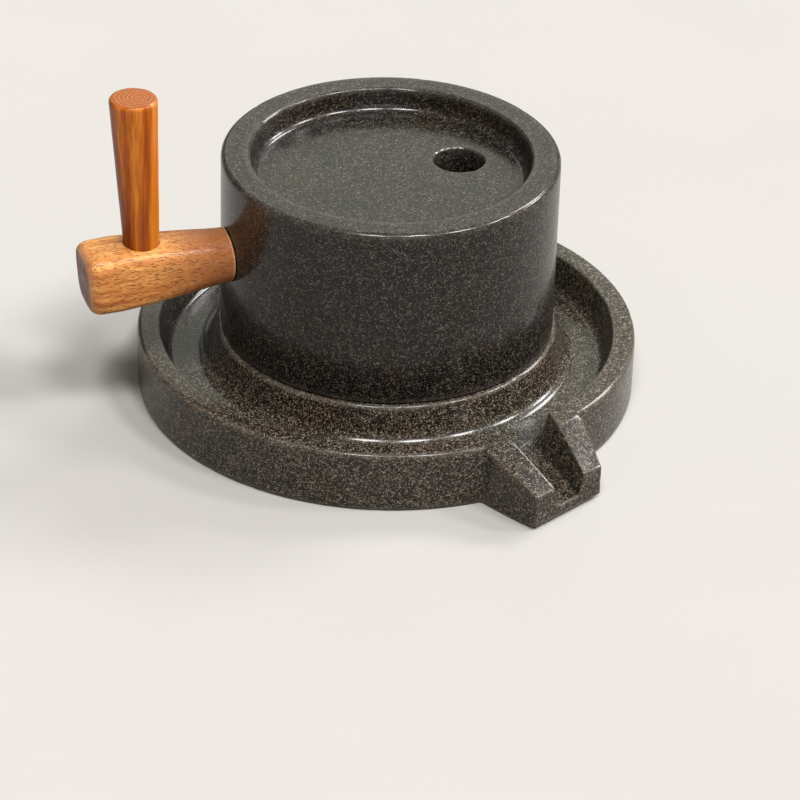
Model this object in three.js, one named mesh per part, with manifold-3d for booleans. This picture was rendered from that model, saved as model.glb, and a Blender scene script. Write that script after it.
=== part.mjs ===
// Household rotary quern: a round runner stone turns on a raised bed, and a tray with a
// pouring spout, carved in one block with the bed, catches what the stones grind.
// A wooden arm is plugged into the runner's side, and an upright wooden grip stands in the arm.
// Millimetres, +Z up. The origin is on the mill's axis, at the underside of the lower stone.
// The spout points along -Y.

import * as THREE from "three";
import { mergeVertices } from "three/addons/utils/BufferGeometryUtils.js";
import Module from "manifold-3d";

const wasm = await Module();
wasm.setup();

// Facets around round things
const STONE_SIDES = 80;
const HOLE_SIDES = 32;
const WOOD_SIDES = 32;
const CORNER_STEPS = 3;

// Gap that keeps touching pieces apart
const GAP = 0.3;

// Lower stone: tray, trough and bed
const TRAY_RADIUS = 152.5;
const TRAY_HEIGHT = 38.7;
const RIM_INNER_RADIUS = 138.9;
const TROUGH_OUTER_RADIUS = 133.2;
const TROUGH_FLOOR = 19.3;
const BED_FOOT_RADIUS = 109.5;
const BED_RADIUS = 103.4;
const BED_TOP = 41.9;
const BASE_EDGE_ROUND = 2;
const RIM_OUTER_ROUND = 2.5;
const RIM_INNER_ROUND = 1.2;
const TROUGH_WALL_FILLET = 4;
const BED_FOOT_FILLET = 10;
const BED_EDGE_ROUND = 1.2;

// Low boss in the middle of the bed, which centres the runner
const BOSS_RADIUS = 12;
const BOSS_HEIGHT = 11;
const BOSS_EDGE_ROUND = 1.5;

// Spout: stations along its length, measured outwards from the mill's axis
const SPOUT_ROOT = 143;
const SPOUT_SHOULDER = 150;
const SPOUT_BELLY = 172;
const SPOUT_TIP = 185.5;
const SPOUT_TIP_SKEW = -0.15;
const SPOUT_ROOT_HALF_WIDTH = 36.5;
const SPOUT_SHOULDER_HALF_WIDTH = 34.9;
const SPOUT_TIP_HALF_WIDTH = 26.9;
const SPOUT_SHOULDER_TOP = 38.4;
const SPOUT_TIP_TOP = 23.4;
const SPOUT_TIP_UNDERSIDE = 3;

// Channel along the spout: half widths at its floor and at the level of the rim
const CHANNEL_FLOOR_START = 19.4;
const CHANNEL_FLOOR_TIP = 9.7;
const CHANNEL_CUT_TOP = 45;
const CHANNEL_STATIONS = [
  { out: 118, floorHalf: 24, topHalf: 38 },
  { out: 131, floorHalf: 15, topHalf: 27 },
  { out: 140, floorHalf: 12.2, topHalf: 19.5 },
  { out: 150, floorHalf: 11.3, topHalf: 16.6 },
  { out: 196, floorHalf: 7.6, topHalf: 15.2 },
];

// Upper stone: runner with a shallow hopper on top
const RUNNER_RADIUS = 101.6;
const RUNNER_TOP = 156;
const GRINDING_GAP = 0.4;
const HOPPER_RADIUS = 84.4;
const HOPPER_FLOOR_RADIUS = 82.3;
const HOPPER_FLOOR = 141.5;
const RUNNER_TOP_ROUND = 3.2;
const RUNNER_FOOT_ROUND = 1.5;
const HOPPER_LIP_ROUND = 1.5;
const HOPPER_FILLET = 3.5;
const BOSS_CLEARANCE = 0.8;

// Feed eye: a round hole through the runner, off its centre
const EYE_RADIUS = 15.2;
const EYE_FROM_AXIS = 45.8;
const EYE_TURN = -9.4;

// Arm: a club, round at the stone and squarer at its outer end
const ARM_TURN = 163;
const ARM_TENON_RADIUS = 11;
const ARM_TENON_END = 72;
const ARM_TENON_HEIGHT = 101.9;
const ARM_SECTIONS = [
  { out: 96, z: 102.1, half: 16.1, rise: 16.1, square: 2 },
  { out: 112, z: 101.5, half: 16.5, rise: 16.6, square: 2.3 },
  { out: 130, z: 100.8, half: 17, rise: 17.4, square: 3 },
  { out: 150, z: 100, half: 17.6, rise: 18.3, square: 4 },
  { out: 170, z: 99.2, half: 18.3, rise: 19.3, square: 4.6 },
  { out: 185.5, z: 98.5, half: 18.7, rise: 19.8, square: 4.6 },
  { out: 188.8, z: 98.4, half: 17.8, rise: 18.9, square: 4.2 },
  { out: 190, z: 98.3, half: 15.8, rise: 16.9, square: 3.8 },
];
const ARM_END_LEAN = 0.08;

// Grip: a tapered peg wedged upright in the arm, leaning slightly outwards
const GRIP_FROM_AXIS = 154.4;
const GRIP_SEAT = 118.5;
const GRIP_DEPTH = 24;
const GRIP_TOP = 214;
const GRIP_SEAT_RADIUS = 10.7;
const GRIP_TOP_RADIUS = 14.3;
const GRIP_LEAN = 3.8;
const GRIP_TOP_ROUND = 1.8;

// Colours and surfaces
const stoneLower = new THREE.MeshStandardMaterial({ color: 0x45443f, roughness: 0.6, metalness: 0 });
const stoneUpper = new THREE.MeshStandardMaterial({ color: 0x40403c, roughness: 0.5, metalness: 0 });
const walnutArm = new THREE.MeshStandardMaterial({ color: 0xb98457, roughness: 0.55, metalness: 0 });
const varnishedGrip = new THREE.MeshStandardMaterial({ color: 0xc77a38, roughness: 0.35, metalness: 0 });

const radians = (degrees) => THREE.MathUtils.degToRad(degrees);
const mix = THREE.MathUtils.lerp;

// Turns corners [radius, height, rounding] into an outline whose corners are arcs
function roundedOutline(corners) {
  const outline = [];
  corners.forEach(([r, z, rounding], index) => {
    const corner = new THREE.Vector2(r, z);
    if (!rounding) {
      outline.push(corner);
      return;
    }
    const before = new THREE.Vector2(...corners[index - 1]).sub(corner).normalize();
    const after = new THREE.Vector2(...corners[index + 1]).sub(corner).normalize();
    const halfAngle = Math.acos(before.dot(after)) / 2;
    const toTangent = rounding / Math.tan(halfAngle);
    const centre = before.clone().add(after).normalize().multiplyScalar(rounding / Math.sin(halfAngle));
    centre.add(corner);
    const start = corner.clone().addScaledVector(before, toTangent).sub(centre);
    const end = corner.clone().addScaledVector(after, toTangent).sub(centre);
    const sweep = Math.atan2(start.cross(end), start.dot(end));
    for (let step = 0; step <= CORNER_STEPS; step += 1) {
      const spoke = start.clone().rotateAround(new THREE.Vector2(), (sweep * step) / CORNER_STEPS);
      outline.push(spoke.add(centre));
    }
  });
  return outline;
}

// Turned solid about +Z from an outline that runs from the axis, outwards and up, back to the axis
function turned(corners, sides) {
  const geometry = new THREE.LatheGeometry(roundedOutline(corners), sides);
  return geometry.rotateX(Math.PI / 2);
}

// Moves every vertex of a geometry to the place that a function gives for it
function reshape(geometry, place) {
  const position = geometry.getAttribute("position");
  const vertex = new THREE.Vector3();
  for (let index = 0; index < position.count; index += 1) {
    vertex.fromBufferAttribute(position, index);
    place(vertex);
    position.setXYZ(index, vertex.x, vertex.y, vertex.z);
  }
  return geometry;
}

// Closed geometry to boolean solid, and back
function toSolid(geometry) {
  const bare = geometry.clone();
  bare.deleteAttribute("normal");
  bare.deleteAttribute("uv");
  const merged = mergeVertices(bare, 1e-4);
  const mesh = new wasm.Mesh({
    numProp: 3,
    vertProperties: new Float32Array(merged.getAttribute("position").array),
    triVerts: new Uint32Array(merged.getIndex().array),
  });
  return new wasm.Manifold(mesh);
}

function toGeometry(solid) {
  const mesh = solid.getMesh();
  const geometry = new THREE.BufferGeometry();
  geometry.setAttribute("position", new THREE.BufferAttribute(new Float32Array(mesh.vertProperties), 3));
  geometry.setIndex(new THREE.BufferAttribute(new Uint32Array(mesh.triVerts), 1));
  geometry.computeVertexNormals();
  return geometry;
}

// Box whose two ends become stations along the spout: z of the unit box runs outwards,
// x across, and y from underside to top
function spoutPrism(stations, corner) {
  const box = new THREE.BoxGeometry(1, 1, 1, 1, 1, stations.length - 1);
  return reshape(box, (vertex) => {
    const step = Math.round((vertex.z + 0.5) * (stations.length - 1));
    corner(vertex, stations[step], Math.sign(vertex.x), vertex.y > 0);
  });
}

function makeSpoutBlock() {
  const stations = [
    { out: SPOUT_ROOT, half: SPOUT_ROOT_HALF_WIDTH, top: SPOUT_SHOULDER_TOP, under: 0, skew: 0 },
    { out: SPOUT_SHOULDER, half: SPOUT_SHOULDER_HALF_WIDTH, top: SPOUT_SHOULDER_TOP, under: 0, skew: 0 },
    { out: SPOUT_BELLY, under: 0, skew: 0 },
    { out: SPOUT_TIP, half: SPOUT_TIP_HALF_WIDTH, top: SPOUT_TIP_TOP, under: SPOUT_TIP_UNDERSIDE,
      skew: SPOUT_TIP_SKEW },
  ];
  const [, shoulder, belly, tip] = stations;
  const bellyShare = (SPOUT_BELLY - SPOUT_SHOULDER) / (SPOUT_TIP - SPOUT_SHOULDER);
  belly.half = mix(shoulder.half, tip.half, bellyShare);
  belly.top = mix(shoulder.top, tip.top, bellyShare);
  return spoutPrism(stations, (vertex, station, side, isTop) => {
    const across = side * station.half;
    vertex.set(across, -(station.out + station.skew * across), isTop ? station.top : station.under);
  });
}

function makeChannelCut() {
  const floorSlope = (CHANNEL_FLOOR_TIP - CHANNEL_FLOOR_START) / (SPOUT_TIP - TROUGH_OUTER_RADIUS);
  return spoutPrism(CHANNEL_STATIONS, (vertex, station, side, isTop) => {
    const fall = Math.max(0, station.out - TROUGH_OUTER_RADIUS);
    const floor = CHANNEL_FLOOR_START + floorSlope * fall;
    const widening = (CHANNEL_CUT_TOP - floor) / (TRAY_HEIGHT - floor);
    const topHalf = mix(station.floorHalf, station.topHalf, widening);
    vertex.set(side * (isTop ? topHalf : station.floorHalf), -station.out, isTop ? CHANNEL_CUT_TOP : floor);
  });
}

function makeLowerStone() {
  const tray = turned([
    [0, 0, 0],
    [TRAY_RADIUS, 0, BASE_EDGE_ROUND],
    [TRAY_RADIUS, TRAY_HEIGHT, RIM_OUTER_ROUND],
    [RIM_INNER_RADIUS, TRAY_HEIGHT, RIM_INNER_ROUND],
    [TROUGH_OUTER_RADIUS, TROUGH_FLOOR, TROUGH_WALL_FILLET],
    [BED_FOOT_RADIUS, TROUGH_FLOOR, BED_FOOT_FILLET],
    [BED_RADIUS, BED_TOP, BED_EDGE_ROUND],
    [BOSS_RADIUS, BED_TOP, 0],
    [BOSS_RADIUS, BED_TOP + BOSS_HEIGHT, BOSS_EDGE_ROUND],
    [0, BED_TOP + BOSS_HEIGHT, 0],
  ], STONE_SIDES);
  const stone = toSolid(tray).add(toSolid(makeSpoutBlock()));
  return toGeometry(stone.subtract(toSolid(makeChannelCut())));
}

// A round bar lying along the arm, from one distance to another
function armBar(radius, from, to, height, sides) {
  const bar = new THREE.CylinderGeometry(radius, radius, to - from, sides);
  return bar.rotateZ(-Math.PI / 2).translate((from + to) / 2, 0, height).rotateZ(radians(ARM_TURN));
}

function makeUpperStone() {
  const underside = BED_TOP + GRINDING_GAP;
  const socketRadius = BOSS_RADIUS + BOSS_CLEARANCE;
  const socketTop = BED_TOP + BOSS_HEIGHT + BOSS_CLEARANCE;
  const runner = turned([
    [0, socketTop, 0],
    [socketRadius, socketTop, 0],
    [socketRadius, underside, 0],
    [RUNNER_RADIUS, underside, RUNNER_FOOT_ROUND],
    [RUNNER_RADIUS, RUNNER_TOP, RUNNER_TOP_ROUND],
    [HOPPER_RADIUS, RUNNER_TOP, HOPPER_LIP_ROUND],
    [HOPPER_FLOOR_RADIUS, HOPPER_FLOOR, HOPPER_FILLET],
    [0, HOPPER_FLOOR, 0],
  ], STONE_SIDES);
  const eye = new THREE.CylinderGeometry(EYE_RADIUS, EYE_RADIUS, RUNNER_TOP, HOLE_SIDES);
  eye.rotateX(Math.PI / 2).translate(EYE_FROM_AXIS, 0, RUNNER_TOP / 2).rotateZ(radians(EYE_TURN));
  const socketEnd = ARM_TENON_END - GAP;
  const socket = armBar(ARM_TENON_RADIUS + GAP, socketEnd, RUNNER_RADIUS + 10, ARM_TENON_HEIGHT, HOLE_SIDES);
  return toGeometry(toSolid(runner).subtract(toSolid(eye)).subtract(toSolid(socket)));
}

// Tapered peg about +Z whose axis leans outwards; grown by a gap it is the hole for the peg
function pegShape(growth, bottom, top, topRound) {
  const taper = (GRIP_TOP_RADIUS - GRIP_SEAT_RADIUS) / (GRIP_TOP - GRIP_SEAT);
  const radiusAt = (z) => GRIP_SEAT_RADIUS + growth + taper * (z - GRIP_SEAT);
  const peg = turned([
    [0, bottom, 0],
    [radiusAt(bottom), bottom, 0],
    [radiusAt(top), top, topRound],
    [0, top, 0],
  ], WOOD_SIDES);
  reshape(peg, (vertex) => {
    vertex.x += GRIP_FROM_AXIS + (GRIP_LEAN * (vertex.z - GRIP_SEAT)) / (GRIP_TOP - GRIP_SEAT);
  });
  return peg.rotateZ(radians(ARM_TURN));
}

function makeArm() {
  const steps = ARM_SECTIONS.length - 1;
  const club = new THREE.CylinderGeometry(1, 1, 1, WOOD_SIDES, steps);
  reshape(club, (vertex) => {
    const section = ARM_SECTIONS[Math.round((vertex.y + 0.5) * steps)];
    const side = Math.sign(vertex.x) * Math.abs(vertex.x) ** (2 / section.square) * section.half;
    const rise = Math.sign(vertex.z) * Math.abs(vertex.z) ** (2 / section.square) * section.rise;
    const endShare = THREE.MathUtils.smoothstep(section.out, GRIP_FROM_AXIS, ARM_SECTIONS[steps].out);
    vertex.set(section.out + endShare * ARM_END_LEAN * rise, -side, section.z + rise);
  });
  club.rotateZ(radians(ARM_TURN));
  const stoneWall = new THREE.CylinderGeometry(RUNNER_RADIUS + GAP, RUNNER_RADIUS + GAP, RUNNER_TOP, STONE_SIDES);
  stoneWall.rotateX(Math.PI / 2).translate(0, 0, RUNNER_TOP / 2);
  const tenon = armBar(ARM_TENON_RADIUS, ARM_TENON_END, GRIP_FROM_AXIS - 30, ARM_TENON_HEIGHT, HOLE_SIDES);
  const hole = pegShape(GAP, GRIP_SEAT - GRIP_DEPTH - GAP, GRIP_SEAT + 20, 0);
  const arm = toSolid(club).subtract(toSolid(stoneWall)).add(toSolid(tenon));
  return toGeometry(arm.subtract(toSolid(hole)));
}

function makeGrip() {
  return toGeometry(toSolid(pegShape(0, GRIP_SEAT - GRIP_DEPTH, GRIP_TOP, GRIP_TOP_ROUND)));
}

function piece(name, geometry, material) {
  const mesh = new THREE.Mesh(geometry, material);
  mesh.name = name;
  return mesh;
}

const quern = new THREE.Group();
quern.add(piece("lower_stone", makeLowerStone(), stoneLower));

const runner = new THREE.Group();
runner.add(piece("upper_stone", makeUpperStone(), stoneUpper));
runner.add(piece("handle_arm", makeArm(), walnutArm));
runner.add(piece("handle_grip", makeGrip(), varnishedGrip));
quern.add(runner);

export default quern;
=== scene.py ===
import math

import bmesh
import bpy
from mathutils import Matrix, Vector, noise


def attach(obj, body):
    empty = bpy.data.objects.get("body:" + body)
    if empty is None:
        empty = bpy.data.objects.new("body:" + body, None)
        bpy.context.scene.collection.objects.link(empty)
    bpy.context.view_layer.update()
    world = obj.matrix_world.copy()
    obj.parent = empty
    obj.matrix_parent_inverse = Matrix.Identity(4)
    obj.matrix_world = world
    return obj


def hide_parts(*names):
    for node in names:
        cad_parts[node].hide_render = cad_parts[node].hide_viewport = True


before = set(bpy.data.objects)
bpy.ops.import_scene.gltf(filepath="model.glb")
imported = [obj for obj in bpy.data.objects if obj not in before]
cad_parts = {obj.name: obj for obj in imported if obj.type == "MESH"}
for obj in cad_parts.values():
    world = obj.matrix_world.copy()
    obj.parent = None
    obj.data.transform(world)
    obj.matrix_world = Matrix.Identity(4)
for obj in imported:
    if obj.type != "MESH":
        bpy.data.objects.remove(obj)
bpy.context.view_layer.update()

# Camera, a little right of the spout and looking down on the mill by about 30 degrees.
# Its long lens keeps the stones' sides nearly parallel.
MM = 0.001
VIEW_TURN = -126
VIEW_RISE = 29.778
VIEW_DISTANCE = 2240.17
VIEW_ROLL = 1.627
VIEW_HEIGHT = 75
AIM_RIGHT = 0.00327
AIM_BELOW = 0.0352
LENS = 165.767
SENSOR = 36

turn, rise, roll = (math.radians(angle) for angle in (VIEW_TURN, VIEW_RISE, VIEW_ROLL))
towards_camera = Vector((math.cos(rise) * math.cos(turn), math.cos(rise) * math.sin(turn), math.sin(rise)))
middle = Vector((0, 0, VIEW_HEIGHT)) * MM
level_right = Vector((-math.sin(turn), math.cos(turn), 0))
level_ahead = Vector((-math.cos(turn), -math.sin(turn), 0))
upright = towards_camera.cross(level_right)
camera_right = level_right * math.cos(roll) + upright * math.sin(roll)
camera_up = upright * math.cos(roll) - level_right * math.sin(roll)
aim = -towards_camera + camera_right * AIM_RIGHT - camera_up * AIM_BELOW
backward = -aim.normalized()
right_axis = camera_up.cross(backward).normalized()
up_axis = backward.cross(right_axis)
camera_data = bpy.data.cameras.new("camera")
camera_data.lens = LENS
camera_data.sensor_width = SENSOR
camera_data.clip_start = 0.1
camera_data.clip_end = 100
camera = bpy.data.objects.new("camera", camera_data)
camera.matrix_world = Matrix.Translation(middle + towards_camera * VIEW_DISTANCE * MM) @ Matrix(
    (right_axis, up_axis, backward)).transposed().to_4x4()
bpy.context.scene.collection.objects.link(camera)
bpy.context.scene.camera = camera

# Studio light: a strip of small bright lamps in an arc, from above the camera round to the back
# right, draws the bright lines along the polished edges. A soft light behind gives the flat tops
# their sheen, one in front fills the sloping sides, and two weak warm ones light the flanks.
LIGHTS = [
    ("overhead", (0.05, 0.3, 0.95), 0.2, 70, "#ffffff"),
    ("strip_front", (-0.12, -0.48, 0.86), 2.2, 13, "#fffdf9"),
    ("strip_front_right", (0.22, -0.42, 0.87), 2.2, 12, "#ffffff"),
    ("strip_right_front", (0.54, -0.3, 0.79), 2.1, 12, "#ffffff"),
    ("strip_right", (0.74, 0.02, 0.67), 1.7, 12, "#ffffff"),
    ("strip_right_back", (0.78, 0.4, 0.48), 1.5, 12, "#ffffff"),
    ("strip_back_right", (0.48, 0.57, 0.67), 1.6, 14, "#ffffff"),
    ("back_low", (0.0, 0.86, 0.5), 0.36, 34, "#f7f9e8"),
    ("front_low", (0.1, -0.95, 0.3), 0.5, 40, "#fff6ea"),
    ("side_left", (-0.95, -0.1, 0.16), 0.35, 60, "#ffc392"),
    ("side_right", (0.96, -0.16, 0.16), 0.6, 60, "#ffc392"),
]
WORLD_LIGHT = 0.2


def colour(hex_code):
    """Linear colour of an sRGB hex value."""
    shares = [int(hex_code[place:place + 2], 16) / 255 for place in (1, 3, 5)]
    return tuple(s / 12.92 if s <= 0.04045 else ((s + 0.055) / 1.055) ** 2.4 for s in shares)


for light_name, (across, ahead, up), strength, softness, light_colour in LIGHTS:
    light_data = bpy.data.lights.new(light_name, "SUN")
    light_data.energy = strength
    light_data.angle = math.radians(softness)
    light_data.color = colour(light_colour)
    light = bpy.data.objects.new(light_name, light_data)
    towards_light = level_right * across + level_ahead * ahead + Vector((0, 0, up))
    light.rotation_euler = towards_light.to_track_quat("Z", "Y").to_euler()
    bpy.context.scene.collection.objects.link(light)

world = bpy.data.worlds.new("studio")
world.use_nodes = True
world.node_tree.nodes["Background"].inputs["Color"].default_value = (*colour("#ffffff"), 1)
world.node_tree.nodes["Background"].inputs["Strength"].default_value = WORLD_LIGHT
bpy.context.scene.world = world
bpy.context.scene.view_settings.view_transform = "Standard"

# Studio floor: a pale matt painted board, much wider than the mill.
# Emulsion paint gives it a faint unevenness and no gloss.
FLOOR_REACH = 14
FLOOR_PALE = "#908e8b"
FLOOR_DEEPER = "#8f8d8a"
PAINT_CLOUD_MM = 180
PAINT_ROUGHNESS = 0.9
PAINT_GLOSS = 0.1


def node(tree, kind, inputs=(), stops=(), **settings):
    """Adds a node with its settings, its ramp's stops and its inputs, which are values or other sockets."""
    made = tree.nodes.new(kind)
    for name, value in settings.items():
        setattr(made, name, value)
    if stops:
        elements = made.color_ramp.elements
        while len(elements) > 1:
            elements.remove(elements[-1])
        elements[0].position = stops[0][0]
        for place, _ in stops[1:]:
            elements.new(place)
        for element, (_, value) in zip(elements, stops):
            element.color = (*colour(value), 1) if isinstance(value, str) else (value, value, value, 1)
    for name, value in dict(inputs).items():
        socket = made.inputs[name]
        if isinstance(value, bpy.types.NodeSocket):
            tree.links.new(value, socket)
        elif isinstance(value, str):
            socket.default_value = (*colour(value), 1)
        else:
            socket.default_value = value
    return made


def new_material(name):
    """An empty node material, its tree, its output node and the piece's Object coordinates."""
    material = bpy.data.materials.new(name)
    material.use_nodes = True
    tree = material.node_tree
    tree.nodes.clear()
    output = tree.nodes.new("ShaderNodeOutputMaterial")
    place = tree.nodes.new("ShaderNodeTexCoord").outputs["Object"]
    return material, tree, output, place


def per_mm(size):
    """Texture scale, in features a metre, for features of this size in millimetres."""
    return 1 / (size * MM)


def add_object(name, shape, material):
    """Makes a bmesh in millimetres into a smooth object in metres, with its material."""
    bmesh.ops.scale(shape, vec=(MM, MM, MM), verts=shape.verts)
    mesh = bpy.data.meshes.new(name)
    shape.to_mesh(mesh)
    shape.free()
    mesh.shade_smooth()
    mesh.materials.append(material)
    thing = bpy.data.objects.new(name, mesh)
    bpy.context.scene.collection.objects.link(thing)
    return thing


painted_board, tree, output, place = new_material("matt_painted_board")
clouds = node(tree, "ShaderNodeTexNoise", {"Vector": place, "Scale": per_mm(PAINT_CLOUD_MM), "Detail": 2})
paint = node(tree, "ShaderNodeValToRGB", {"Fac": clouds.outputs["Fac"]},
             stops=[(0.35, FLOOR_DEEPER), (0.65, FLOOR_PALE)])
board = node(tree, "ShaderNodeBsdfPrincipled", {
    "Base Color": paint.outputs["Color"], "Roughness": PAINT_ROUGHNESS, "Specular IOR Level": PAINT_GLOSS})
tree.links.new(board.outputs["BSDF"], output.inputs["Surface"])
shape = bmesh.new()
bmesh.ops.create_grid(shape, x_segments=1, y_segments=1, size=FLOOR_REACH / MM)
floor = add_object("floor", shape, painted_board)

# Lower stone: the bed, the trough round it, the tray's wall and the pouring spout are one block
# of dark fine-grained stone. It is turned on a lathe, the spout and its channel are cut with a
# chisel and a grinding wheel, and the whole is rubbed smooth.
TRAY_RADIUS = 152.5
RIM_LEVEL = 38.7
LOWER_OUTLINE = [
    (0, 0), (60, 0), (125, 0), (142, 0), (149, 0), (151.7, 0.4), (152.5, 2.4), (152.5, 6.5), (152.5, 13),
    (152.5, 19.5), (152.5, 26), (152.5, 32.5), (152.5, 36.2), (151.7, 38.1), (149.6, 38.7), (146.5, 38.7),
    (142.5, 38.7), (140, 38.7), (138.8, 38.3), (138.2, 36.5), (136.9, 31.9), (135.4, 26.9), (134.1, 22.4),
    (132.8, 20.2), (130, 19.3), (126, 19.3), (121.5, 19.3), (117.2, 19.3), (113, 20.2), (109.5, 22.9),
    (107.5, 27), (105.9, 32.6), (104.6, 37.7), (104.1, 40.2), (103.2, 41.6), (101.4, 41.9), (96, 41.9),
    (55, 41.9), (14, 41.9), (12, 42.3), (12, 45), (12, 51), (11.6, 52.5), (10, 52.9), (0, 52.9),
]
OUTER_WALL_ROWS = (6, 12)
SECTOR_ROWS = (4, 26)
ROWS_AT_ROOT = {
    4: (147, 0), 5: (149.8, 0), 6: (152.5, 0), 12: (152.5, 38.5), 13: (150.6, 38.7), 14: (148.3, 38.7),
}
ROWS_EASING_BACK = {25: 0.6, 26: 0.25}
SPOUT_SECTOR = 13.37
HALF_COLUMNS = 11
BESIDE_SPOUT = 0.8
TRAY_COLUMNS = 84
SPOUT_OUTS = (154.2, 161, 170, 178, 183.9, 185.5)
SPOUT_TIP = 185.5
SPOUT_TIP_SKEW = -0.15
SPOUT_TIP_HALF_WIDTH = 26.9
SPOUT_TIP_TOP = 23.4
SPOUT_UNDERCUT_START = 0.55
SPOUT_UNDERCUT = 3
CHANNEL = [(118, 24, 38), (131, 15, 27), (140, 12.2, 19.5), (150, 11.3, 16.6), (196, 7.6, 15.2)]
CHANNEL_START = (133.2, 19.4)
CHANNEL_FALL = 0.1855
MOUTH_CORNER = 2.6
TIP_CORNER = 1.2
CORNER_TIGHTENS_FROM = 140
CORNER_TIGHTENS_OVER = 20
CHEEK_CORNER = 1.6
SPOUT_EDGE_LOOP = 1.5
END_FACE_SHARES = {8: 0.3, 9: 0.5, 10: 0.7}
CHEEK_GLANCE = {8: 0.1, 9: 0.6, 10: 1.4, 11: 1.8}

shape = bmesh.new()
shape.verts.layers.int.new("row")
shape.verts.layers.int.new("column")
row_of = shape.verts.layers.int["row"]
column_of = shape.verts.layers.int["column"]
start = math.radians(-90 - SPOUT_SECTOR)
line = []
for row, (radius, height) in enumerate(LOWER_OUTLINE):
    corner = shape.verts.new((radius * math.cos(start), radius * math.sin(start), height))
    corner[row_of] = row
    line.append(corner)
line += [shape.edges.new(pair) for pair in zip(line, line[1:])]
far_side = 360 - 2 * SPOUT_SECTOR - 2 * BESIDE_SPOUT
for angle, steps in ((2 * SPOUT_SECTOR, 2 * HALF_COLUMNS), (BESIDE_SPOUT, 1), (far_side, TRAY_COLUMNS),
                     (BESIDE_SPOUT, 1)):
    spun = bmesh.ops.spin(shape, geom=line, cent=(0, 0, 0), axis=(0, 0, 1), dvec=(0, 0, 0),
                          angle=math.radians(angle), steps=steps, use_merge=False)
    line = spun["geom_last"]
bmesh.ops.remove_doubles(shape, verts=shape.verts, dist=0.02)


def column_at(vertex):
    """Column of a vertex across the spout, from 0 in its middle, negative on its -X side; None beside it."""
    angle = math.degrees(math.atan2(vertex.co.x, -vertex.co.y))
    column = round(angle / SPOUT_SECTOR * HALF_COLUMNS)
    return column if vertex.co.xy.length > 1 and abs(angle) < SPOUT_SECTOR + 0.1 else None


def mix(first, second, share):
    return first + (second - first) * share


def channel_at(out):
    """Channel's floor height, and its half widths at the floor and at the rim's level."""
    for (near, near_floor, near_top), (far, far_floor, far_top) in zip(CHANNEL, CHANNEL[1:]):
        if out <= far:
            break
    share = (out - near) / (far - near)
    floor_height = min(CHANNEL_START[1] - CHANNEL_FALL * (out - CHANNEL_START[0]), CHANNEL_START[1] - 0.1)
    return floor_height, mix(near_floor, far_floor, share), mix(near_top, far_top, share)


def section_point(column, out, outer_half, top, softness):
    """Where a column crosses the spout's section: along the channel's floor, up its wall, along the cheek."""
    floor_height, floor_half, rim_half = channel_at(out)
    floor_height = min(floor_height, top)
    top_half = mix(floor_half, rim_half, (top - floor_height) / (RIM_LEVEL - floor_height))
    if top < RIM_LEVEL - 2 and out < TRAY_RADIUS - 1:
        top_half = rim_half
    wall = max(math.hypot(top_half - floor_half, top - floor_height), 0.1)
    near = min(softness / wall, 0.3)
    cheek = outer_half - top_half
    steps = [
        (0, floor_height),
        (floor_half * 0.5, floor_height),
        (floor_half - min(softness, floor_half * 0.3), floor_height),
        (floor_half, floor_height),
        (mix(floor_half, top_half, near), mix(floor_height, top, near)),
        (mix(floor_half, top_half, 0.5), mix(floor_height, top, 0.5)),
        (mix(top_half, floor_half, near), mix(top, floor_height, near)),
        (top_half, top),
        (top_half + min(softness, cheek * 0.3), top),
        (top_half + cheek * 0.55, top),
        (outer_half - min(CHEEK_CORNER, cheek * 0.2), top),
        (outer_half, top),
    ]
    across, height = steps[abs(column)]
    return math.copysign(across, column), height


sector = {}
for vertex in shape.verts:
    column = column_at(vertex)
    if column is not None and SECTOR_ROWS[0] <= vertex[row_of] <= SECTOR_ROWS[1]:
        sector[vertex] = column
for vertex, column in sector.items():
    vertex[column_of] = column
wall_low, wall_high = OUTER_WALL_ROWS
for vertex, column in sector.items():
    row = vertex[row_of]
    radius, top = ROWS_AT_ROOT.get(row, LOWER_OUTLINE[row])
    outer_half = radius * math.sin(math.radians(SPOUT_SECTOR))
    tightened = max(0, min(1, (radius - CORNER_TIGHTENS_FROM) / CORNER_TIGHTENS_OVER))
    softness = mix(MOUTH_CORNER, TIP_CORNER, tightened)
    across, height = section_point(column, radius, outer_half, max(top, RIM_LEVEL - 0.2) if row < 13 else top,
                                   softness)
    across = mix(vertex.co.x, across, ROWS_EASING_BACK.get(row, 1))
    if row <= wall_low:
        height = top
    if wall_low < row < wall_high:
        height = vertex.co.z
    if row >= 24:
        height = vertex.co.z
    vertex.co = (across, -math.sqrt(radius ** 2 - across ** 2), height)

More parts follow.
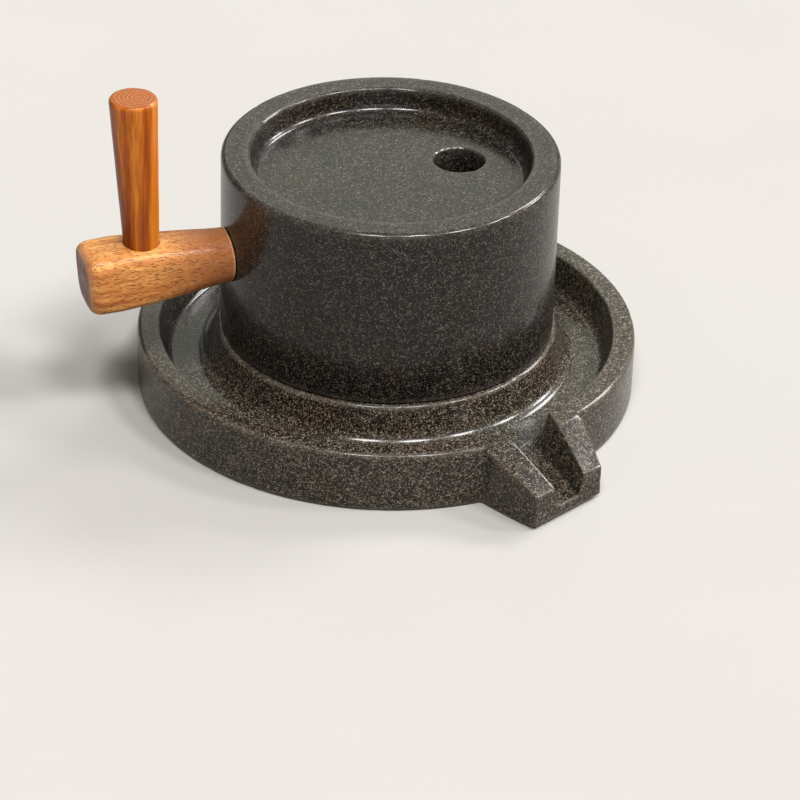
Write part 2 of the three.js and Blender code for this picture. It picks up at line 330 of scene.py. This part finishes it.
end_faces = [face for face in shape.faces
             if all(corner in sector and wall_low <= corner[row_of] <= wall_high for corner in face.verts)]
for out in SPOUT_OUTS:
    pulled = bmesh.ops.extrude_face_region(shape, geom=end_faces)["geom"]
    bmesh.ops.delete(shape, geom=end_faces, context="FACES")
    end_faces = [part for part in pulled if isinstance(part, bmesh.types.BMFace)]
    share = (out - TRAY_RADIUS) / (SPOUT_TIP - TRAY_RADIUS)
    root_half = TRAY_RADIUS * math.sin(math.radians(SPOUT_SECTOR))
    outer_half = mix(root_half, SPOUT_TIP_HALF_WIDTH, share)
    top = mix(RIM_LEVEL - 0.2, SPOUT_TIP_TOP, share)
    bottom = SPOUT_UNDERCUT * max(0, (share - SPOUT_UNDERCUT_START) / (1 - SPOUT_UNDERCUT_START))
    for vertex in pulled:
        if isinstance(vertex, bmesh.types.BMVert):
            column = vertex[column_of]
            across, height = section_point(column, out, outer_half, top, TIP_CORNER)
            if column > 0:
                height -= CHEEK_GLANCE.get(column, 0) * share ** 2
            root_out = math.sqrt(TRAY_RADIUS ** 2 - (root_half / outer_half * across) ** 2)
            reach = mix(root_out, SPOUT_TIP + SPOUT_TIP_SKEW * across, share)
            row_share = END_FACE_SHARES.get(vertex[row_of], 0 if vertex[row_of] == wall_low else 1)
            if vertex[row_of] == wall_low + 1:
                row_share = SPOUT_EDGE_LOOP / (height - bottom)
            if vertex[row_of] == wall_high - 1:
                row_share = 1 - SPOUT_EDGE_LOOP / (height - bottom)
            vertex.co = (across, -reach, mix(bottom, height, row_share))
bmesh.ops.recalc_face_normals(shape, faces=shape.faces)
shape.verts.layers.int.remove(shape.verts.layers.int["row"])
shape.verts.layers.int.remove(shape.verts.layers.int["column"])

STONE_WAVE_MM = 42
STONE_WAVE_DEPTH_MM = 0.1
NICK_MM = 7
NICK_DEPTH_MM = 0.35
CHISEL_STEP_MM = 0.8
CHISEL_CUT_OUT = 137
CHISEL_CUT_SKEW = 0.37
CHISEL_CUT_WIDTH = 0.9
CHISEL_REACH = (133, 160)
CHISEL_FADE_FROM = 142
WORN_BEND = (0.09, 0.38)
NICK_START = 0.28
NICK_SPAN = 0.4
# Dense stone, turned and rubbed, is a dark satin with pale specks, and bright along its edges. Its
# crystals, a few tenths of a millimetre across, are drawn at 0.6 mm so that they show.
GRAIN_MM = 0.6
CLUMP_MM = 2.6
PIT_MM = 4.2
CLOUD_MM = 34
STREAK_MM = 9
CRYSTAL_BUMP_MM = 0.06
PIT_BUMP_MM = 0.4
DULLEST = 0.5
SHINIEST = 0.32
STONE_IOR = 1.52
STONE_GLOSS = 0.07
POLISH = 0.45
POLISH_ROUGHNESS = 0.15
POLISH_IOR = 1.5


def settle(thing):
    """Applies a piece's modifiers to its mesh."""
    bpy.context.view_layer.update()
    settled = bpy.data.meshes.new_from_object(thing.evaluated_get(bpy.context.evaluated_depsgraph_get()))
    thing.modifiers.clear()
    thing.data = settled
    return thing


def mark_worn_edges(shape, start, full):
    """Stores how sharply the surface bends outwards, where hands and cloths rub it lighter; per mm."""
    worn = shape.verts.layers.float.new("edge_wear")
    bend_of = {}
    for vertex in shape.verts:
        bend = 0
        for edge in vertex.link_edges:
            other = edge.other_vert(vertex)
            away = other.co - vertex.co
            if away.length_squared > 0:
                bend = max(bend, (other.normal - vertex.normal).dot(away) / away.length_squared * MM)
        bend_of[vertex] = max(0, min(1, (bend - start) / (full - start)))
    for vertex in shape.verts:
        around = [bend_of[edge.other_vert(vertex)] for edge in vertex.link_edges]
        vertex[worn] = 0.5 * bend_of[vertex] + 0.5 * sum(around) / max(1, len(around))
    return worn


def hand_finish(thing, wave, wave_depth, nick, nick_depth):
    """Gives a turned or cut surface the slight waves of rubbing by hand, and its edges small nicks."""
    shape = bmesh.new()
    shape.from_mesh(thing.data)
    shape.normal_update()
    worn = mark_worn_edges(shape, *WORN_BEND)
    moves = {}
    for vertex in shape.verts:
        place = vertex.co / MM
        depth = wave_depth * noise.noise(place / wave)
        bite = max(0, noise.noise(place / nick + Vector((31, 7, 3))) - NICK_START)
        depth -= nick_depth * bite * vertex[worn] / NICK_SPAN
        moves[vertex] = vertex.normal * depth * MM
    for vertex, move in moves.items():
        vertex.co += move
        vertex.co.z = max(vertex.co.z, 0)
    shape.to_mesh(thing.data)
    shape.free()


def stone_material(name, black, dark, grey, fleck, warm, cool, worn_edge):
    """Dense dark stone, turned and rubbed smooth: crystals mostly black and some pale, a thin polish
    that draws bright lines along the edges, sparse pits, and edges rubbed lighter."""
    material, tree, output, place = new_material(name)
    crystals = node(tree, "ShaderNodeTexVoronoi", {"Vector": place, "Scale": per_mm(GRAIN_MM)})
    crystal = node(tree, "ShaderNodeSeparateColor", {"Color": crystals.outputs["Color"]})
    clumps = node(tree, "ShaderNodeTexNoise", {
        "Vector": place, "Scale": per_mm(CLUMP_MM), "Detail": 2, "Roughness": 0.6})
    clump = node(tree, "ShaderNodeMapRange", {
        "Value": clumps.outputs["Fac"], "From Min": 0.3, "From Max": 0.7, "To Min": -0.12, "To Max": 0.12})
    paleness = node(tree, "ShaderNodeMath", {0: crystal.outputs["Red"], 1: clump.outputs["Result"]},
                    operation="ADD")
    minerals = node(tree, "ShaderNodeValToRGB", {"Fac": paleness.outputs["Value"]},
                    stops=[(0.22, black), (0.55, dark), (0.8, grey), (1, fleck)])
    clouds = node(tree, "ShaderNodeTexNoise", {
        "Vector": place, "Scale": per_mm(CLOUD_MM), "Detail": 3, "Roughness": 0.55})
    drift = node(tree, "ShaderNodeValToRGB", {"Fac": clouds.outputs["Fac"]},
                 stops=[(0.34, warm), (0.5, "#ffffff"), (0.66, cool)])
    tinted = node(tree, "ShaderNodeMix", {
        0: 1, 6: minerals.outputs["Color"], 7: drift.outputs["Color"]},
        data_type="RGBA", blend_type="MULTIPLY")
    pits = node(tree, "ShaderNodeTexVoronoi", {"Vector": place, "Scale": per_mm(PIT_MM), "Randomness": 1})
    pit = node(tree, "ShaderNodeMapRange", {
        "Value": pits.outputs["Distance"], "From Min": 0.1, "From Max": 0.2, "To Min": 1, "To Max": 0})
    with_pits = node(tree, "ShaderNodeMix", {
        0: pit.outputs["Result"], 6: tinted.outputs[2], 7: black}, data_type="RGBA")
    worn = node(tree, "ShaderNodeAttribute", attribute_name="edge_wear")
    streaks = node(tree, "ShaderNodeTexNoise", {
        "Vector": place, "Scale": per_mm(STREAK_MM), "Detail": 4, "Roughness": 0.7})
    patchy = node(tree, "ShaderNodeMapRange", {
        "Value": streaks.outputs["Fac"], "From Min": 0.35, "From Max": 0.7, "To Min": 0.05, "To Max": 0.6})
    rubbed = node(tree, "ShaderNodeMath", {0: worn.outputs["Fac"], 1: patchy.outputs["Result"]},
                  operation="MULTIPLY")
    finished = node(tree, "ShaderNodeMix", {
        0: rubbed.outputs["Value"], 6: with_pits.outputs[2], 7: worn_edge}, data_type="RGBA")
    gloss = node(tree, "ShaderNodeMapRange", {
        "Value": crystal.outputs["Green"], "To Min": DULLEST, "To Max": SHINIEST})
    grit = node(tree, "ShaderNodeBump", {
        "Height": crystal.outputs["Red"], "Strength": 0.3, "Distance": CRYSTAL_BUMP_MM * MM})
    relief = node(tree, "ShaderNodeBump", {
        "Height": pit.outputs["Result"], "Normal": grit.outputs["Normal"], "Strength": 0.5,
        "Distance": PIT_BUMP_MM * MM}, invert=True)
    surface = node(tree, "ShaderNodeBsdfPrincipled", {
        "Base Color": finished.outputs[2], "Roughness": gloss.outputs["Result"], "IOR": STONE_IOR,
        "Specular IOR Level": STONE_GLOSS, "Coat Weight": POLISH, "Coat Roughness": POLISH_ROUGHNESS,
        "Coat IOR": POLISH_IOR, "Normal": relief.outputs["Normal"]})
    tree.links.new(surface.outputs["BSDF"], output.inputs["Surface"])
    return material


rubbed_stone_lower = stone_material(
    "dark_stone_turned_and_rubbed_tray", black="#080706", dark="#1f1b16", grey="#3e372f", fleck="#70685d",
    warm="#fff0e0", cool="#eaefe4", worn_edge="#4f4a43")
lower_stone = add_object("lower_stone_carved", shape, rubbed_stone_lower)
rounding = lower_stone.modifiers.new("rounding", "SUBSURF")
rounding.levels = rounding.render_levels = 2
settle(lower_stone)
for vertex in lower_stone.data.vertices:
    across, out, height = vertex.co.x / MM, -vertex.co.y / MM, vertex.co.z / MM
    floor_height, floor_half, _ = channel_at(out)
    in_mouth = CHISEL_REACH[0] < out < CHISEL_REACH[1]
    if in_mouth and abs(across) < floor_half - 0.3 and height < floor_height + 0.8:
        past_cut = max(0, min(1, (out - CHISEL_CUT_OUT + CHISEL_CUT_SKEW * across) / CHISEL_CUT_WIDTH))
        fading = max(0, min(1, (CHISEL_REACH[1] - out) / (CHISEL_REACH[1] - CHISEL_FADE_FROM)))
        vertex.co.z -= CHISEL_STEP_MM * MM * past_cut * fading
hand_finish(lower_stone, STONE_WAVE_MM, STONE_WAVE_DEPTH_MM, NICK_MM, NICK_DEPTH_MM)
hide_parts("lower_stone")
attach(lower_stone, "bed")

# Upper stone, the runner: a thick disc of the same stone, turned all over and rubbed smooth.
# A shallow hopper is turned in its top, a round feed eye is drilled through it off its centre,
# and a blind socket in its side takes the arm.
RUNNER_OUTLINE = [
    (0, 53.7, 0), (12.8, 53.7, 0), (12.8, 42.3, 0), (101.6, 42.3, 1.5), (101.6, 156, 3.4), (84.4, 156, 2.2),
    (82.3, 141.5, 5.2), (0, 141.5, 0),
]
RUNNER_COLUMNS = 360
ROUNDING_STEPS = 5
OUTLINE_STEP = 2.4
RUNNER_SHARP_FROM = 38
EYE_RADIUS = 15.2
EYE_COLUMNS = 96
EYE_STEP = 6
EYE_FROM_AXIS = 45.8
EYE_TURN = -9.4
ARM_TURN = 163
SOCKET_RADIUS = 11.3
SOCKET_COLUMNS = 64
SOCKET_STEP = 8
SOCKET_END = 71.7
SOCKET_MOUTH = 120
SOCKET_HEIGHT = 101.9


def turned(corners, columns, outline_step):
    """Spins an outline, given as radius, height and corner rounding, about +Z into a closed solid."""
    shape = bmesh.new()
    points = [shape.verts.new((radius, 0, height)) for radius, height, _ in corners]
    for pair in zip(points, points[1:]):
        shape.edges.new(pair)
    for index, (_, _, rounding) in enumerate(corners):
        if rounding:
            here, before, after = points[index].co, Vector(corners[index - 1]), Vector(corners[index + 1])
            before, after = Vector((before.x, 0, before.y)) - here, Vector((after.x, 0, after.y)) - here
            to_tangent = rounding / math.tan(before.angle(after) / 2)
            bmesh.ops.bevel(shape, geom=[points[index]], offset=to_tangent, offset_type="OFFSET",
                            segments=ROUNDING_STEPS, profile=0.5, affect="VERTICES", material=-1)
    for edge in list(shape.edges):
        cuts = int(edge.calc_length() / outline_step)
        if cuts:
            bmesh.ops.subdivide_edges(shape, edges=[edge], cuts=cuts)
    bmesh.ops.spin(shape, geom=shape.verts[:] + shape.edges[:], cent=(0, 0, 0), axis=(0, 0, 1),
                   dvec=(0, 0, 0), angle=2 * math.pi, steps=columns, use_merge=True)
    bmesh.ops.remove_doubles(shape, verts=shape.verts, dist=0.01)
    bmesh.ops.recalc_face_normals(shape, faces=shape.faces)
    return shape


def cut_away(thing, cutter_shape):
    """Cuts a solid in millimetres out of a piece."""
    cutter = add_object("cutter", cutter_shape, thing.data.materials[0])
    cut = thing.modifiers.new("cut", "BOOLEAN")
    cut.operation = "DIFFERENCE"
    cut.solver = "EXACT"
    cut.object = cutter
    settle(thing)
    bpy.data.objects.remove(cutter)


rubbed_stone_runner = stone_material(
    "dark_stone_turned_and_rubbed_runner", black="#050404", dark="#110f0d", grey="#221e1a", fleck="#504b44",
    warm="#fff2e2", cool="#eaefe4", worn_edge="#45423d")
upper_stone = add_object("upper_stone_turned", turned(RUNNER_OUTLINE, RUNNER_COLUMNS, OUTLINE_STEP),
                         rubbed_stone_runner)
eye_shape = turned([
    (0, 30, 0), (EYE_RADIUS, 30, 0), (EYE_RADIUS, 140, 0), (EYE_RADIUS + 0.12, 140.6, 0),
    (EYE_RADIUS + 0.5, 141.15, 0), (EYE_RADIUS + 1.05, 141.48, 0), (EYE_RADIUS + 2.2, 142.6, 0),
    (EYE_RADIUS + 3, 150, 0), (0, 150, 0)], EYE_COLUMNS, EYE_STEP)
eye_turn = math.radians(EYE_TURN)
bmesh.ops.translate(eye_shape, verts=eye_shape.verts,
                    vec=(EYE_FROM_AXIS * math.cos(eye_turn), EYE_FROM_AXIS * math.sin(eye_turn), 0))
cut_away(upper_stone, eye_shape)
along_arm = Matrix.Rotation(math.radians(ARM_TURN), 3, "Z")
lying = Matrix.Rotation(math.radians(90), 3, "Y")
socket_shape = turned([
    (0, SOCKET_END, 0), (SOCKET_RADIUS, SOCKET_END, 0), (SOCKET_RADIUS, SOCKET_MOUTH, 0),
    (0, SOCKET_MOUTH, 0)], SOCKET_COLUMNS, SOCKET_STEP)
bmesh.ops.rotate(socket_shape, verts=socket_shape.verts, cent=(0, 0, 0), matrix=lying)
bmesh.ops.translate(socket_shape, verts=socket_shape.verts, vec=(0, 0, SOCKET_HEIGHT))
bmesh.ops.rotate(socket_shape, verts=socket_shape.verts, cent=(0, 0, 0), matrix=along_arm)
cut_away(upper_stone, socket_shape)
hand_finish(upper_stone, STONE_WAVE_MM, STONE_WAVE_DEPTH_MM, NICK_MM, NICK_DEPTH_MM)
upper_stone.data.set_sharp_from_angle(angle=math.radians(RUNNER_SHARP_FROM))
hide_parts("upper_stone")
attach(upper_stone, "runner")

# Arm: a short club of open-grained brown hardwood, shaped by hand with a plane and a rasp and
# oiled. It is round and coped where it meets the stone, grows squarer outwards with a flat top,
# and a round tenon holds it in the stone. Its outer end is sawn across and rounded over.
ARM_SECTIONS = [
    (101.9, 101.9, 16.25, 16.3, 2.1), (112, 101.5, 16.5, 16.6, 2.3), (130, 100.8, 17, 17.4, 3),
    (150, 100, 17.6, 18.3, 4.1), (170, 99.2, 18.3, 19.3, 4.7), (190, 98.3, 18.9, 20, 3.5),
]
ARM_START = 101.9
ARM_END = 190
ARM_COLUMNS = 120
ARM_RINGS = 90
ARM_END_ROUND = (7.6, 4.6)
ARM_SHOULDER_ROUND = (0.9, 0.9)
ARM_END_LEAN = 0.08
ARM_LEAN_FROM = 154.4
COPE_REACH = 30
END_INSET = 2.5
END_CROWN_STEPS = (0.25, 0.12)
SHOULDER_INSET = 1.5
TENON_RADIUS = 11
TENON_END = 72
CARVING_MM = 26
CARVING_DEPTH_MM = 0.22
RASP_NICK_MM = 5
RASP_NICK_DEPTH_MM = 0.25
END_GRAIN_FROM = 0.35


def along_sections(sections, out):
    """Values of a row of sections at one distance out, mixed between the two nearest."""
    for near, far in zip(sections, sections[1:]):
        if out <= far[0]:
            break
    share = max(0, min(1, (out - near[0]) / (far[0] - near[0])))
    return [mix(a, b, share) for a, b in zip(near[1:], far[1:])]


def round_over(distance, reach, depth):
    """How far a surface draws in at this distance from an end that is rounded over."""
    if distance >= reach:
        return 0
    return depth * (1 - math.sqrt(max(0, 1 - ((reach - distance) / reach) ** 2)))


shape = bmesh.new()
bmesh.ops.create_cone(shape, cap_ends=True, cap_tris=False, segments=ARM_COLUMNS, radius1=1, radius2=1,
                      depth=1)
lengthwise = [edge for edge in shape.edges if abs(edge.verts[0].co.z - edge.verts[1].co.z) > 0.5]
bmesh.ops.subdivide_edges(shape, edges=lengthwise, cuts=ARM_RINGS)
for vertex in shape.verts:
    eased = 0.5 - 0.5 * math.cos(math.pi * (vertex.co.z + 0.5))
    out = mix(ARM_START, ARM_END, mix(eased, vertex.co.z + 0.5, 0.25))
    height, half, lift, square = along_sections(ARM_SECTIONS, out)
    drawn_in = round_over(ARM_END - out, *ARM_END_ROUND) + round_over(out - ARM_START, *ARM_SHOULDER_ROUND)
    side = math.copysign(abs(vertex.co.x) ** (2 / square), vertex.co.x) * (half - drawn_in)
    up = math.copysign(abs(vertex.co.y) ** (2 / square), vertex.co.y) * (lift - drawn_in)
    end_share = max(0, (out - ARM_LEAN_FROM) / (ARM_END - ARM_LEAN_FROM)) ** 2
    curve_of_stone = ARM_START - math.sqrt(ARM_START ** 2 - side ** 2)
    coped = curve_of_stone * max(0, 1 - (out - ARM_START) / COPE_REACH)
    vertex.co = (out - coped + end_share * ARM_END_LEAN * up, -side, height + up)
bmesh.ops.recalc_face_normals(shape, faces=shape.faces)
shoulder, sawn_end = sorted((face for face in shape.faces if len(face.verts) > 4),
                            key=lambda face: face.calc_center_median().x)
for depth in END_CROWN_STEPS:
    bmesh.ops.inset_region(shape, faces=[sawn_end], thickness=END_INSET, depth=depth)
bmesh.ops.inset_region(shape, faces=[shoulder], thickness=SHOULDER_INSET, depth=0)
for vertex in shoulder.verts:
    around = Vector((vertex.co.y, vertex.co.z - SOCKET_HEIGHT)).normalized() * TENON_RADIUS
    vertex.co = (math.sqrt(ARM_START ** 2 - around.x ** 2), around.x, SOCKET_HEIGHT + around.y)
for reach in (100, TENON_END + 1, TENON_END):
    pulled = bmesh.ops.extrude_face_region(shape, geom=[shoulder])["geom"]
    bmesh.ops.delete(shape, geom=[shoulder], context="FACES")
    shoulder = next(part for part in pulled if isinstance(part, bmesh.types.BMFace))
    for vertex in shoulder.verts:
        vertex.co.x = reach
bmesh.ops.rotate(shape, verts=shape.verts, cent=(0, 0, 0), matrix=along_arm)
bmesh.ops.recalc_face_normals(shape, faces=shape.faces)

# Planed and oiled hardwood has a low sheen, with brown growth bands along the arm, thin dark pores
# and a darker, redder sawn end. The pores, about 0.2 mm wide, are drawn at 0.5 mm so that they show.
PORE_MM = (3.6, 0.5, 0.5)
BAND_MM = (90, 3.4, 3.4)
FIGURE_MM = (26, 5, 5)
GROWTH_TONES = [(0.34, "#7f451f"), (0.46, "#a26834"), (0.56, "#b47e44"), (0.66, "#c09253")]
# Colour the arm is drawn darker and redder towards, over its part nearest the stone.
NEAR_STONE_TONE = "#87522f"
NEAR_STONE_OUT = (152, 122)
END_TONES = [(0.38, "#340a00"), (0.5, "#561a02"), (0.6, "#6c2c08")]
PORE_TONE = "#653819"
END_PORE_TONE = "#2e1002"
WORN_WOOD_TONE = "#d0a478"
PORE_DENT_MM = 0.18
BAND_RIDGE_MM = 0.5
OIL_DULLEST = 0.5
OIL_SHINIEST = 0.36
OILED_WOOD_IOR = 1.48
OIL_GLOSS = 0.15
OIL_COAT = 0.08
OIL_COAT_ROUGHNESS = 0.25
oiled_hardwood, tree, output, place = new_material("brown_hardwood_planed_and_oiled")
lined_up = node(tree, "ShaderNodeMapping", {"Vector": place, "Rotation": (0, 0, math.radians(-ARM_TURN))})
pore_place = node(tree, "ShaderNodeMapping", {
    "Vector": lined_up.outputs["Vector"], "Scale": [per_mm(size) for size in PORE_MM]})
pores = node(tree, "ShaderNodeTexNoise", {
    "Vector": pore_place.outputs["Vector"], "Scale": 1, "Detail": 2, "Roughness": 0.6})
pore = node(tree, "ShaderNodeMapRange", {
    "Value": pores.outputs["Fac"], "From Min": 0.53, "From Max": 0.62})
band_place = node(tree, "ShaderNodeMapping", {
    "Vector": lined_up.outputs["Vector"], "Scale": [per_mm(size) for size in BAND_MM]})
bands = node(tree, "ShaderNodeTexNoise", {
    "Vector": band_place.outputs["Vector"], "Scale": 1, "Detail": 3, "Roughness": 0.55, "Distortion": 0.3})
figure_place = node(tree, "ShaderNodeMapping", {
    "Vector": lined_up.outputs["Vector"], "Scale": [per_mm(size) for size in FIGURE_MM]})
figure = node(tree, "ShaderNodeTexNoise", {
    "Vector": figure_place.outputs["Vector"], "Scale": 1, "Detail": 4, "Roughness": 0.6})
both = node(tree, "ShaderNodeMath", {0: bands.outputs["Fac"], 1: figure.outputs["Fac"]}, operation="ADD")
halved = node(tree, "ShaderNodeMath", {0: both.outputs["Value"], 1: 0.5}, operation="MULTIPLY")
growth = node(tree, "ShaderNodeValToRGB", {"Fac": halved.outputs["Value"]}, stops=GROWTH_TONES)
along = node(tree, "ShaderNodeSeparateXYZ", {"Vector": lined_up.outputs["Vector"]})
# The arm's colour is mixed towards NEAR_STONE_TONE from 152 mm out inwards to the stone, so it is drawn
# darker and redder there.
near_stone = node(tree, "ShaderNodeMapRange", {
    "Value": along.outputs["X"], "From Min": NEAR_STONE_OUT[0] * MM, "From Max": NEAR_STONE_OUT[1] * MM,
    "To Max": 0.9})
darker_near_stone = node(tree, "ShaderNodeMix", {
    0: near_stone.outputs["Result"], 6: growth.outputs["Color"], 7: NEAR_STONE_TONE}, data_type="RGBA")
ends = node(tree, "ShaderNodeAttribute", attribute_name="end_grain")
end_bands = node(tree, "ShaderNodeValToRGB", {"Fac": halved.outputs["Value"]}, stops=END_TONES)
end_soak = node(tree, "ShaderNodeMath", {0: ends.outputs["Fac"], 1: 0.95}, operation="MULTIPLY")
with_ends = node(tree, "ShaderNodeMix", {
    0: end_soak.outputs["Value"], 6: darker_near_stone.outputs[2], 7: end_bands.outputs["Color"]}, data_type="RGBA")
pore_tone = node(tree, "ShaderNodeMix", {
    0: end_soak.outputs["Value"], 6: PORE_TONE, 7: END_PORE_TONE}, data_type="RGBA")
with_pores = node(tree, "ShaderNodeMix", {
    0: pore.outputs["Result"], 6: with_ends.outputs[2], 7: pore_tone.outputs[2]}, data_type="RGBA")
worn = node(tree, "ShaderNodeAttribute", attribute_name="edge_wear")
worn_share = node(tree, "ShaderNodeMath", {0: worn.outputs["Fac"], 1: 0.45}, operation="MULTIPLY")
with_wear = node(tree, "ShaderNodeMix", {
    0: worn_share.outputs["Value"], 6: with_pores.outputs[2], 7: WORN_WOOD_TONE}, data_type="RGBA")
oil_gloss = node(tree, "ShaderNodeMapRange", {
    "Value": figure.outputs["Fac"], "From Min": 0.3, "From Max": 0.7, "To Min": OIL_DULLEST,
    "To Max": OIL_SHINIEST})
pore_dent = node(tree, "ShaderNodeBump", {
    "Height": pore.outputs["Result"], "Strength": 0.6, "Distance": PORE_DENT_MM * MM}, invert=True)
band_ridge = node(tree, "ShaderNodeBump", {
    "Height": figure.outputs["Fac"], "Normal": pore_dent.outputs["Normal"], "Strength": 0.35,
    "Distance": BAND_RIDGE_MM * MM})
oiled = node(tree, "ShaderNodeBsdfPrincipled", {
    "Base Color": with_wear.outputs[2], "Roughness": oil_gloss.outputs["Result"], "IOR": OILED_WOOD_IOR,
    "Specular IOR Level": OIL_GLOSS, "Coat Weight": OIL_COAT, "Coat Roughness": OIL_COAT_ROUGHNESS,
    "Normal": band_ridge.outputs["Normal"]})
tree.links.new(oiled.outputs["BSDF"], output.inputs["Surface"])


def mark_end_grain(thing, direction, start):
    """Stores where a wooden piece's surface cuts across its fibres."""
    shape = bmesh.new()
    shape.from_mesh(thing.data)
    shape.normal_update()
    end = shape.verts.layers.float.new("end_grain")
    for vertex in shape.verts:
        vertex[end] = max(0, min(1, (abs(vertex.normal.dot(direction)) - start) / (1 - start)))
    shape.to_mesh(thing.data)
    shape.free()


handle_arm = add_object("handle_arm_club", shape, oiled_hardwood)
hand_finish(handle_arm, CARVING_MM, CARVING_DEPTH_MM, RASP_NICK_MM, RASP_NICK_DEPTH_MM)
mark_end_grain(handle_arm, along_arm @ Vector((1, 0, 0)), END_GRAIN_FROM)
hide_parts("handle_arm")
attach(handle_arm, "runner")

# Grip: a tapered peg turned from orange-brown wood and varnished, wedged upright in the arm's
# flat top and leaning slightly outwards. Its top is sawn across and shows the rings.
GRIP_FROM_AXIS = 154.4
GRIP_SEAT = 118.5
GRIP_SEAT_RADIUS = 10.7
GRIP_BOTTOM = 94.5
GRIP_TOP = 214
GRIP_TOP_RADIUS = 14.3
GRIP_LEAN = 3.8
GRIP_TOP_ROUND = 2.2
PEG_GAP = 0.3
PEG_COLUMNS = 96
PEG_STEP = 2.2
HOLE_TOP = 138.5
ARM_SHARP_FROM = 50


def peg(growth, bottom, top, top_round):
    """Tapered peg that leans outwards along the arm; grown by a gap it is the hole for the peg."""
    taper = (GRIP_TOP_RADIUS - GRIP_SEAT_RADIUS) / (GRIP_TOP - GRIP_SEAT)
    bottom_radius, top_radius = (
        GRIP_SEAT_RADIUS + growth + taper * (level - GRIP_SEAT) for level in (bottom, top))
    shape = turned([(0, bottom, 0), (bottom_radius, bottom, 0), (top_radius, top, top_round), (0, top, 0)],
                   PEG_COLUMNS, PEG_STEP)
    for vertex in shape.verts:
        vertex.co.x += GRIP_FROM_AXIS + GRIP_LEAN * (vertex.co.z - GRIP_SEAT) / (GRIP_TOP - GRIP_SEAT)
    bmesh.ops.rotate(shape, verts=shape.verts, cent=(0, 0, 0), matrix=along_arm)
    return shape


cut_away(handle_arm, peg(PEG_GAP, GRIP_BOTTOM - PEG_GAP, HOLE_TOP, 0))
handle_arm.data.set_sharp_from_angle(angle=math.radians(ARM_SHARP_FROM))

# Turned and varnished wood is even and slightly glossy, with strands along its grain, and rings in
# its sawn top. The strands, about 0.5 mm wide, are drawn at 1.1 mm so that they show.
STRAND_MM = (1.1, 1.1, 150)
BROAD_MM = (9, 9, 240)
RING_MM = 2.4
# The ring pattern repeats every 0.314 at a scale of one.
WAVE_LENGTH = 0.314
SIDE_TONES = [(0.38, "#571f01"), (0.46, "#773402"), (0.53, "#8b4505"), (0.62, "#a8631e")]
RING_TONES = [(0.2, "#703815"), (0.8, "#844b1e")]
STRAND_SHARE = 0.33
MIDDLE_LEAN = 1
GRAIN_RIDGE_MM = 0.2
VARNISHED_ROUGHNESS = 0.42
VARNISHED_IOR = 1.5
VARNISHED_GLOSS = 0.12
VARNISH_COAT = 0.2
VARNISH_COAT_ROUGHNESS = 0.14
TURNED_WAVE_MM = 18
TURNED_WAVE_DEPTH_MM = 0.12
DENT_MM = 5
DENT_DEPTH_MM = 0.12
RINGS_FROM = 0.6
varnished_peg, tree, output, place = new_material("orange_wood_turned_and_varnished")
grip_foot = along_arm @ Vector((GRIP_FROM_AXIS + MIDDLE_LEAN, 0, 0)) * MM
on_axis = node(tree, "ShaderNodeMapping", {"Vector": place, "Location": (-grip_foot.x, -grip_foot.y, 0)})
strand_place = node(tree, "ShaderNodeMapping", {
    "Vector": on_axis.outputs["Vector"], "Scale": [per_mm(size) for size in STRAND_MM]})
strands = node(tree, "ShaderNodeTexNoise", {
    "Vector": strand_place.outputs["Vector"], "Scale": 1, "Detail": 4, "Roughness": 0.6})
broad_place = node(tree, "ShaderNodeMapping", {
    "Vector": on_axis.outputs["Vector"], "Scale": [per_mm(size) for size in BROAD_MM]})
broad = node(tree, "ShaderNodeTexNoise", {
    "Vector": broad_place.outputs["Vector"], "Scale": 1, "Detail": 1})
weighted = node(tree, "ShaderNodeMix", {
    0: STRAND_SHARE, 2: broad.outputs["Fac"], 3: strands.outputs["Fac"]}, data_type="FLOAT")
sides = node(tree, "ShaderNodeValToRGB", {"Fac": weighted.outputs[0]}, stops=SIDE_TONES)
rings = node(tree, "ShaderNodeTexWave", {
    "Vector": on_axis.outputs["Vector"], "Scale": per_mm(RING_MM) * WAVE_LENGTH, "Distortion": 5, "Detail": 3,
    "Detail Scale": 2}, wave_type="RINGS", rings_direction="Z")
ring_tone = node(tree, "ShaderNodeValToRGB", {"Fac": rings.outputs["Fac"]}, stops=RING_TONES)
ends = node(tree, "ShaderNodeAttribute", attribute_name="end_grain")
tone = node(tree, "ShaderNodeMix", {
    0: ends.outputs["Fac"], 6: sides.outputs["Color"], 7: ring_tone.outputs["Color"]}, data_type="RGBA")
ring_ridge = node(tree, "ShaderNodeMath", {0: rings.outputs["Fac"], 1: ends.outputs["Fac"]},
                  operation="MULTIPLY")
ring_bump = node(tree, "ShaderNodeBump", {
    "Height": ring_ridge.outputs["Value"], "Strength": 0.5, "Distance": GRAIN_RIDGE_MM * MM})
strand_bump = node(tree, "ShaderNodeBump", {
    "Height": strands.outputs["Fac"], "Normal": ring_bump.outputs["Normal"], "Strength": 0.15,
    "Distance": GRAIN_RIDGE_MM * MM})
varnished = node(tree, "ShaderNodeBsdfPrincipled", {
    "Base Color": tone.outputs[2], "Roughness": VARNISHED_ROUGHNESS, "IOR": VARNISHED_IOR,
    "Specular IOR Level": VARNISHED_GLOSS, "Coat Weight": VARNISH_COAT,
    "Coat Roughness": VARNISH_COAT_ROUGHNESS, "Normal": strand_bump.outputs["Normal"]})
tree.links.new(varnished.outputs["BSDF"], output.inputs["Surface"])
handle_grip = add_object("handle_grip_peg", peg(0, GRIP_BOTTOM, GRIP_TOP, GRIP_TOP_ROUND), varnished_peg)
hand_finish(handle_grip, TURNED_WAVE_MM, TURNED_WAVE_DEPTH_MM, DENT_MM, DENT_DEPTH_MM)
mark_end_grain(handle_grip, Vector((0, 0, 1)), RINGS_FROM)
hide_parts("handle_grip")
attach(handle_grip, "runner")
